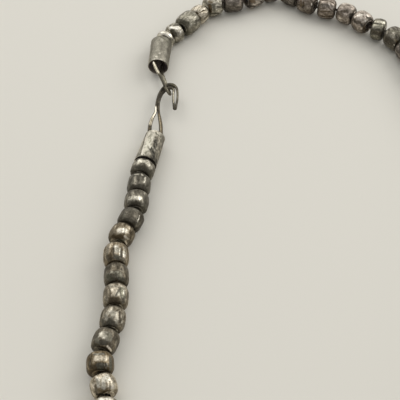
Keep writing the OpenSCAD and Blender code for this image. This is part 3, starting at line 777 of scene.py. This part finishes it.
def mesh_object(name, points, faces, marks, material):
    """Smooth-shaded piece inside the solids' box, with its marks as attributes."""
    mesh = bpy.data.meshes.new(name)
    mesh.from_pydata(np.clip(np.asarray(points) * MM, *cad_box).tolist(), [], faces)
    for mark, values in marks.items():
        layer = mesh.attributes.new(mark, "FLOAT", "POINT")
        layer.data.foreach_set("value", np.asarray(values, dtype=np.float32))
    mesh.polygons.foreach_set("use_smooth", [True] * len(mesh.polygons))
    mesh.materials.append(material)
    mesh.validate()
    return scene_object(name, mesh)


def grid_faces(rings, around, closed=False):
    """Faces between rings of points; closed joins the last ring to the first."""
    faces = []
    for i in range(rings if closed else rings - 1):
        a = i * around
        b = (i + 1) % rings * around
        for k in range(around):
            n = (k + 1) % around
            faces.append((a + k, a + n, b + n, b + k))
    return faces


def bead_outline(width, length, square, rings):
    """Closed outline of a bead's section as radius and place along it, and a weight for its relief."""
    rim_r = width * RIM_SHARE / 2
    half = length / 2
    foot = rim_r - BARREL_FOOT
    side = []
    for k in range(rings + 1):
        share = math.sin(math.pi / 2 * (2 * k / rings - 1))
        swell = max(0.0, 1 - abs(share) ** square) ** 0.5
        relief = min(1, RELIEF_FADE * (1 - abs(share)))
        side.append((foot + (width / 2 - foot) * swell, (half - BARREL_STOP) * share, relief))
    rim = [(rim_r - inset, half - back, 0) for inset, back in RIM_ROUND]
    rim += [(HOLE_R + outset, half - back, 0) for outset, back in HOLE_ROUND]
    rim.append((HOLE_R, half * HOLE_CORE, 0))
    low = [(r, -t, w) for r, t, w in reversed(rim)]
    return np.array(low + side + rim)


def hammer(points, weight, random, strength):
    """Presses flat facets into a bead, each square to a chance direction."""
    top = points.copy()
    for _ in range(FACETS):
        n = unit(random.normal(size=3) * FACET_SPREAD)
        reach = top @ n
        over = reach - (reach.max() - strength * random.uniform(*FACET_DEPTHS))
        press = np.maximum(over, 0) * FACET_FLATNESS
        points = points - (press * weight)[:, None] * n
    return points


def dent(points, weight, random, depth):
    """Presses a few small hollows into a bead."""
    outer = points[weight > DENT_RELIEF]
    for _ in range(DENTS):
        place = outer[random.integers(len(outer))]
        size = random.uniform(*DENT_SIZES)
        near = np.exp(-np.sum((points - place) ** 2, axis=1) / size**2)
        inward = -unit(np.array([place[0], place[1], 0]))
        points = points + (near * weight * depth * random.uniform(*DENT_DEPTHS))[:, None] * inward
    return points


def bead_shape(i, name, look, around, rings):
    """Points, faces and marks of bead i, lying where its solid lies."""
    random = np.random.default_rng(BEAD_SEED + i)
    width = WIDTHS[i]
    start = room(i, width)
    stop = np.linalg.norm(JOINTS[i + 1] - JOINTS[i]) - room(i + 1, width)
    length = stop - start
    outline = bead_outline(width, length, look[SQUARE], rings)
    r, t, w = (np.repeat(column, around) for column in outline.T)
    a = np.tile(round_angles(around), len(outline))
    share = t / length

    wander = WANDER * np.sin(2 * a + 5 * share + random.uniform(0, 6)) + SWAY * np.sin(a - 4 * share)
    flute = look[FLUTES] / 2 * (a - math.radians(look[START]) + math.radians(look[TWIST]) * share + wander)
    groove = (1 - np.abs(np.sin(flute))) ** 3
    r = r - look[DEPTH] * groove * w * (FLUTE_MIDDLE + FLUTE_ENDS * np.abs(share))
    plain = np.stack([r * np.cos(a), r * np.sin(a), t], axis=1)
    points = hammer(plain, w, random, look[HAMMER])
    points = dent(points, w, random, look[HAMMER] * DENT_STRENGTH)
    rough = noise_values(points * ROUGH_SCALE + [i * ROUGH_APART, 0, 0])
    points[:, :2] *= (1 + ROUGH_SHARE * rough * w)[:, None]
    pressed = np.linalg.norm(points - plain, axis=1)

    lines = noise_places(a, t, STREAK_SCALE, i * STREAK_APART)
    streak = noise_values(lines) + STREAK_FINE * noise_values(lines * STREAK_FINE_SCALE)
    soot = GROOVE_SOOT * groove * w * min(1, look[DEPTH] * GROOVE_FULL) + pressed
    wear = np.clip(look[TONE] - soot + STREAK_WEAR * streak * w, 0, 1)
    end = np.clip((np.abs(share) - END_FROM) / END_RUN, 0, 1)
    wear = np.clip(wear - END_SOOT * end * (w > 0), 0, 1)
    inside = (np.hypot(points[:, 0], points[:, 1]) < HOLE_R + HOLE_SOOT).astype(float)
    marks = {"wear": wear, "warmth": np.full(len(points), look[WARMTH]), "inside": inside}

    way = bead_heading(i)
    along = np.array([math.cos(way), math.sin(way), 0])
    up = np.array([0, 0, 1])
    side = np.cross(along, up)
    centre = np.array([*JOINTS[i], width / 2]) + along * (start + stop) / 2
    placed = centre + points @ np.array([up, side, along])
    placed = chart(name, placed, marks, (centre, along))
    placed[:, 2] = np.maximum(placed[:, 2], LIFT)
    return placed, grid_faces(len(outline), around, closed=True), marks


def sweep(path, radii, around):
    """Round bar along a path, with rounded ends."""
    path = np.array(path)
    steps = np.diff(path, axis=0)
    steps = steps / np.linalg.norm(steps, axis=1)[:, None]
    along = np.concatenate([steps[:1], steps[:-1] + steps[1:], steps[-1:]])
    along /= np.linalg.norm(along, axis=1)[:, None]
    angle = round_angles(around)[:, None]
    across = unit(np.cross([0, 0, 1], along[0]))
    circles = []
    for way in along:
        across = unit(across - way * (across @ way))
        circles.append(np.cos(angle) * across + np.sin(angle) * np.cross(way, across))
    last = len(path) - 1
    sections = [(0, radii[0] * shrink, -radii[0] * push) for push, shrink in reversed(CAP_STEPS)]
    sections += [(i, radius, 0) for i, radius in enumerate(radii)]
    sections += [(last, radii[last] * shrink, radii[last] * push) for push, shrink in CAP_STEPS]
    points = np.concatenate([path[i] + shift * along[i] + r * circles[i] for i, r, shift in sections])
    faces = grid_faces(len(sections), around)
    faces.append(tuple(range(around))[::-1])
    faces.append(tuple(range(len(points) - around, len(points))))
    return points, faces


def wire_point(row, side):
    """Middle of one wire of a doubled wire, on side 1 or -1 of the row's middle."""
    reach = side * row[HALF]
    way = math.radians(row[HEADING])
    roll = math.radians(row[ROLL])
    return np.array([
        row[X] - reach * math.cos(roll) * math.sin(way),
        row[Y] + reach * math.cos(roll) * math.cos(way),
        row[Z] + reach * math.sin(roll),
    ])


def doubled_wire(name, rows, tone, material):
    """Hairpin of wire through a table's rows, folded round beyond the last one."""
    fine = smooth(rows, WIRE_STEPS)
    last = fine[-1]
    middle = last[[X, Y, Z]]
    reach = wire_point(last, 1) - middle
    way = math.radians(last[HEADING])
    ahead = last[HALF] * np.array([math.cos(way), math.sin(way), 0])
    fold = [
        middle + math.cos(math.pi * k / FOLD_STEPS) * reach + math.sin(math.pi * k / FOLD_STEPS) * ahead
        for k in range(1, FOLD_STEPS)
    ]
    path = [wire_point(row, 1) for row in fine] + fold + [wire_point(row, -1) for row in reversed(fine)]
    radii = [row[WIRE] / 2 for row in fine]
    radii = radii + [last[WIRE] / 2] * len(fold) + radii[::-1]
    points, faces = sweep(path, radii, WIRE_AROUND)
    plain = np.zeros(len(points))
    marks = {"wear": plain + tone, "warmth": plain, "inside": plain}
    points = chart(name, points, marks, (points[0], np.array([0, 0, 1])))
    piece = mesh_object(name + "_wire", points, faces, marks, material)
    return piece


def tube_shape(mouth, seat, sizes, seed):
    """A hand-rolled cone of sheet with rounded rims and small dents: its points and faces, each point's
    angle, share of the length and inside mark, and the centre line."""
    mouth_r, seat_r = sizes[0] / 2, sizes[1] / 2
    reach = np.linalg.norm(seat - mouth)
    slope = math.asin((seat_r - mouth_r) / reach)
    length = reach / math.cos(slope)
    growth = (seat_r - mouth_r) / length
    outer = np.linspace(TUBE_OUTER_START, length - TUBE_OUTER_START, TUBE_RINGS + 1)
    inner = (length - TUBE_INNER_START) * (1 - np.arange(1, TUBE_INNER_RINGS) / TUBE_INNER_RINGS)
    outline = [(mouth_r + growth * t, t, 1, 0) for t in outer]
    outline += [(seat_r - inset, length - back, w, hidden) for inset, back, w, hidden in TUBE_RIM]
    outline += [(mouth_r + growth * t - WALL, t, 0, 1) for t in inner]
    outline += [(mouth_r - inset, back, w, hidden) for inset, back, w, hidden in reversed(TUBE_RIM)]
    r, t, w, inside = (np.repeat(column, TUBE_AROUND) for column in np.array(outline).T)
    a = np.tile(round_angles(TUBE_AROUND), len(outline))
    spots = noise_places(a, t, TUBE_SCALE, seed)
    dents = TUBE_DENT * (noise_values(spots) + 0.5) + TUBE_FINE_DENT * noise_values(spots * TUBE_FINE_SCALE)
    r = r - w * dents
    points = np.stack([r * np.cos(a), r * np.sin(a), t], axis=1)
    way = heading(mouth, seat)
    along = np.array([math.cos(way) * math.cos(slope), math.sin(way) * math.cos(slope), math.sin(slope)])
    side = unit(np.cross(along, [0, 0, 1]))
    up = np.cross(side, along)
    centre = np.array([*mouth, mouth_r * math.cos(slope)])
    placed = centre + points @ np.array([up, side, along])
    faces = grid_faces(len(outline), TUBE_AROUND, closed=True)
    return placed, faces, a, t / length, inside, (centre, along)


# Materials

# Places on the silver's ramp of colours, and how bright its middle colour is there
PATINA_STEPS = ((0.16, 0.42), (0.34, 0.66), (0.5, 1.0), (0.65, 1.6), (0.82, 2.5))

# Casts of the tarnish, from olive by neutral to brown
CASTS = ((0, (0.94, 0.94, 0.72)), (0.5, (0.99, 0.94, 0.84)), (1, (1.0, 0.76, 0.45)))

# Soot inside the holes and the tubes
SOOT = (0.24, 0.2, 0.18)

# Scale and detail of the materials' cloudy and grainy noise
CLOUDS = (420, 4)
GRAINS = (1900, 3)


def new_material(name):
    """A new material, its nodes and its shader."""
    material = bpy.data.materials.new(name)
    material.use_nodes = True
    tree = material.node_tree
    return material, tree, tree.nodes["Principled BSDF"]


def node(tree, kind, **settings):
    made = tree.nodes.new(kind)
    for key, value in settings.items():
        setattr(made, key, value)
    return made


def mapped(tree, source, **limits):
    """A socket's value carried from one range to another; limits that are left out are 0 and 1."""
    made = node(tree, "ShaderNodeMapRange")
    for key, value in limits.items():
        made.inputs[key.replace("_", " ").title()].default_value = value
    tree.links.new(source, made.inputs["Value"])
    return made.outputs["Result"]


def added(tree, one, other, clamp=False):
    made = node(tree, "ShaderNodeMath", operation="ADD", use_clamp=clamp)
    tree.links.new(one, made.inputs[0])
    tree.links.new(other, made.inputs[1])
    return made.outputs[0]


def ramped(tree, source, stops, interpolation="LINEAR"):
    """Colour of a socket's value on a ramp, whose stops are each a position and a colour."""
    made = node(tree, "ShaderNodeValToRGB")
    ramp = made.color_ramp
    ramp.interpolation = interpolation
    for element, (position, colour) in zip(ramp.elements, (stops[0], stops[-1])):
        element.position = position
        element.color = (*colour, 1)
    for position, colour in stops[1:-1]:
        stop = ramp.elements.new(position)
        stop.color = (*colour, 1)
    tree.links.new(source, made.inputs["Fac"])
    return made.outputs["Color"]


def mottled_noise(tree, scale, detail, strength):
    """Noise in the piece's own space, from -strength to strength."""
    place = node(tree, "ShaderNodeTexCoord")
    texture = node(tree, "ShaderNodeTexNoise")
    texture.inputs["Scale"].default_value = scale
    texture.inputs["Detail"].default_value = detail
    tree.links.new(place.outputs["Object"], texture.inputs["Vector"])
    return mapped(tree, texture.outputs["Fac"], from_min=0.3, from_max=0.7, to_min=-strength, to_max=strength)


def add_bump(tree, shader, height, strength, distance):
    bump = node(tree, "ShaderNodeBump")
    bump.inputs["Strength"].default_value = strength
    bump.inputs["Distance"].default_value = distance
    tree.links.new(height, bump.inputs["Height"])
    tree.links.new(bump.outputs["Normal"], shader.inputs["Normal"])


def silver_material(name, dark, middle, bright, worn_rough, sooty_rough, mottle):
    """Oxidised silver: a dark patina that the point marks and a fine mottle rub through to bright metal; the
    marks also carry painted highlights, painted reflections and painted shade.
    """
    material, tree, shader = new_material(name)
    link = tree.links.new
    wear, warmth, inside = (
        node(tree, "ShaderNodeAttribute", attribute_name=mark).outputs["Fac"]
        for mark in ("wear", "warmth", "inside")
    )
    clouded = added(tree, wear, mottled_noise(tree, *CLOUDS, mottle))
    total = added(tree, clouded, mottled_noise(tree, *GRAINS, mottle), clamp=True)

    tones = [(position, [channel * level for channel in middle]) for position, level in PATINA_STEPS]
    coloured = node(tree, "ShaderNodeMix", data_type="RGBA", blend_type="MULTIPLY")
    tinted = mapped(tree, total, from_min=0.25, from_max=0.75, to_min=1.0, to_max=0.45)
    link(tinted, coloured.inputs["Factor"])
    link(ramped(tree, total, [(0, dark), *tones, (1, bright)]), coloured.inputs["A"])
    link(ramped(tree, mapped(tree, warmth, from_min=-1), CASTS), coloured.inputs["B"])
    sooted = node(tree, "ShaderNodeMix", data_type="RGBA")
    sooted.inputs["B"].default_value = (*SOOT, 1)
    link(inside, sooted.inputs["Factor"])
    link(coloured.outputs["Result"], sooted.inputs["A"])
    link(sooted.outputs["Result"], shader.inputs["Base Color"])

    link(mapped(tree, total, from_max=0.6, to_min=0.74), shader.inputs["Metallic"])
    link(mapped(tree, total, to_min=sooty_rough, to_max=worn_rough), shader.inputs["Roughness"])
    add_bump(tree, shader, total, strength=0.5, distance=0.0001)
    return material


def thread_material():
    material, tree, shader = new_material("waxed_thread")
    place = node(tree, "ShaderNodeTexCoord")
    ply = node(tree, "ShaderNodeTexWave", bands_direction="DIAGONAL")
    ply.inputs["Scale"].default_value = 900
    ply.inputs["Distortion"].default_value = 1.5
    tree.links.new(place.outputs["Object"], ply.inputs["Vector"])
    colour = ramped(tree, ply.outputs["Fac"], ((0, (0.012, 0.008, 0.006)), (1, (0.05, 0.035, 0.024))))
    tree.links.new(colour, shader.inputs["Base Color"])
    shader.inputs["Roughness"].default_value = 0.7
    add_bump(tree, shader, ply.outputs["Fac"], strength=0.6, distance=0.0002)
    return material


# Silvers of the pieces, in the order of silver_material's inputs
SILVERS = {
    "bead_silver": ((0.055, 0.049, 0.037), (0.2, 0.19, 0.163), (0.8, 0.775, 0.715), 0.36, 0.5, 0.15),
    "mauve_silver": ((0.045, 0.038, 0.034), (0.2, 0.18, 0.162), (0.82, 0.79, 0.72), 0.36, 0.52, 0.15),
    "tube_silver": ((0.028, 0.026, 0.02), (0.24, 0.231, 0.202), (0.7, 0.685, 0.63), 0.52, 0.64, 0.08),
    "wire_silver": ((0.03, 0.027, 0.02), (0.22, 0.205, 0.165), (0.85, 0.82, 0.75), 0.3, 0.45, 0.12),
}
BEAD_SILVER, MAUVE_SILVER, TUBE_SILVER, WIRE_SILVER = (
    silver_material(name, *look) for name, look in SILVERS.items()
)


# Pieces


def bead_node(i):
    if i < PLAIN_FIRST:
        return f"eye_bead_{i + 1}"
    return f"hook_bead_{BEAD_COUNT - i}"


def add_beads():
    for i in [*range(PLAIN_FIRST), *range(PLAIN_LAST + 1, BEAD_COUNT)]:
        name = bead_node(i)
        points, faces, marks = bead_shape(i, name, BEAD_LOOKS[name], FINE_AROUND, FINE_RINGS)
        material = MAUVE_SILVER if name in MAUVE_BEADS else BEAD_SILVER
        piece = mesh_object(name + "_silver", points, faces, marks, material)
        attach(piece, "root")
        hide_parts(name)


def add_plain_beads():
    random = np.random.default_rng(PLAIN_SEED)
    beads = []
    for i in range(PLAIN_FIRST, PLAIN_LAST + 1):
        flutes = int(random.integers(*PLAIN_FLUTES))
        look = (flutes, *(random.uniform(*limits) for limits in PLAIN_LOOKS))
        beads.append(bead_shape(i, "plain_beads", look, PLAIN_AROUND, PLAIN_RINGS))
    parts, _, bead_marks = zip(*beads)
    points = np.concatenate(parts)
    count = len(parts[0])
    faces = [tuple(v + k * count for v in face) for k, bead in enumerate(beads) for face in bead[1]]
    marks = {mark: np.concatenate([values[mark] for values in bead_marks]) for mark in bead_marks[0]}
    piece = mesh_object("plain_beads_silver", points, faces, marks, BEAD_SILVER)
    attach(piece, "root")
    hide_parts("plain_beads")


def add_tube(name, mouth, seat, sizes, patch, seed, tone, warmth, mottled):
    points, faces, a, share, inside, centre_line = tube_shape(mouth, seat, sizes, seed)
    spots = noise_places(a, share, CLOUD_RUN, seed)
    cloud = noise_values(spots * CLOUD_SCALE)
    mottle = noise_values(spots * MOTTLE_SCALE)
    wear = np.clip(tone + patch(a, share), 0, 1) * (1 - inside)
    marks = {"wear": wear, "warmth": warmth + CLOUD_CAST * cloud, "inside": inside}
    points = chart(name, points, marks, centre_line)
    marks["wear"] = np.clip(marks["wear"] + mottled * (cloud + mottle), 0, 1) * (1 - inside)
    piece = mesh_object(name + "_silver", points, faces, marks, TUBE_SILVER)
    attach(piece, "root")
    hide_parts(name)


def eye_tube_patch(a, share):
    """Darker on the eye's tube's side inside the loop and towards its seat."""
    return -0.15 * np.clip(np.sin(a), 0, 1) - 0.1 * share


def hook_tube_patch(a, share):
    """Darker on the hook's tube's side inside the loop, as painted shade of that side, and in the half next
    to its seat.
    """
    return -0.25 * np.clip(-1.6 * np.sin(a) - 0.1, 0, 1) - 0.1 * np.clip(share - 0.5, 0, 1)


def add_clasp():
    add_tube(
        "eye_tube", EYE_MOUTH, EYE_SEAT, EYE_TUBE_D, eye_tube_patch,
        seed=3.0, tone=0.6, warmth=-0.1, mottled=0.05,
    )
    add_tube(
        "hook_tube", HOOK_MOUTH, HOOK_SEAT, HOOK_TUBE_D, hook_tube_patch,
        seed=9.0, tone=0.75, warmth=0.1, mottled=0.25,
    )
    for name, rows, tone in (("hook", HOOK_ROWS, 0.14), ("eye", EYE_ROWS, 0.4)):
        piece = doubled_wire(name, rows, tone, WIRE_SILVER)
        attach(piece, "root")
        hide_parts(name)


def dress_thread():
    material = thread_material()
    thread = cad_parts["thread"]
    for slot in thread.material_slots:
        slot.link = "OBJECT"
        slot.material = material


# Studio

# The world's light: its brightest direction, its colours from the far side to there, and its strength
SKY_DIRECTION = (0.15, 0.84, 0.52)
SKY_STOPS = (
    (0.05, (0.75, 0.74, 0.72)),
    (0.25, (0.62, 0.62, 0.62)),
    (0.4, (0.48, 0.48, 0.48)),
    (0.55, (0.47, 0.47, 0.47)),
    (0.72, (0.6, 0.6, 0.6)),
    (0.86, (0.84, 0.84, 0.84)),
    (0.95, (1, 0.99, 0.97)),
)
SKY_STRENGTH = 1.04


def add_floor():
    mesh = bpy.data.meshes.new("floor")
    reach = 3.0
    corners = [(-reach, -reach, 0), (reach, -reach, 0), (reach, reach, 0), (-reach, reach, 0)]
    mesh.from_pydata(corners, [], [(0, 1, 2, 3)])
    material, _, shader = new_material("pale_floor")
    shader.inputs["Base Color"].default_value = (0.72, 0.695, 0.62, 1)
    shader.inputs["Roughness"].default_value = 0.8
    mesh.materials.append(material)
    floor = scene_object("floor", mesh)


def add_area(name, place, size, power):
    """Area light that faces the middle of the necklace."""
    light = bpy.data.lights.new(name, "AREA")
    light.shape = "RECTANGLE"
    light.size, light.size_y = size
    light.energy = power
    lamp = scene_object(name, light)
    lamp.location = place
    lamp.rotation_euler = (-Vector(place)).to_track_quat("-Z", "Y").to_euler()


def add_world():
    world = bpy.data.worlds.new("studio")
    bpy.context.scene.world = world
    world.use_nodes = True
    tree = world.node_tree
    background = tree.nodes["Background"]
    place = node(tree, "ShaderNodeTexCoord")
    towards = node(tree, "ShaderNodeVectorMath", operation="DOT_PRODUCT")
    towards.inputs[1].default_value = SKY_DIRECTION
    tree.links.new(place.outputs["Generated"], towards.inputs[0])
    share = mapped(tree, towards.outputs["Value"], from_min=-1)
    tree.links.new(ramped(tree, share, SKY_STOPS, "EASE"), background.inputs["Color"])
    background.inputs["Strength"].default_value = SKY_STRENGTH


def add_camera():
    camera = bpy.data.cameras.new("camera")
    camera.lens = LENS
    camera.sensor_width = SENSOR
    eye = scene_object("camera", camera)
    eye.location = CAMERA * MM
    eye.rotation_euler = (math.pi / 2 - LOOK_DOWN, 0, 0)
    bpy.context.scene.camera = eye


add_camera()
add_beads()
add_plain_beads()
add_clasp()
dress_thread()
add_floor()
add_world()
add_area("window", place=(0.95, 0.55, 0.8), size=(0.8, 0.8), power=5.6)
add_area("soft_box", place=(-0.6, 0.8, 0.8), size=(0.8, 0.6), power=2.4)
bpy.context.scene.view_settings.view_transform = "Standard"
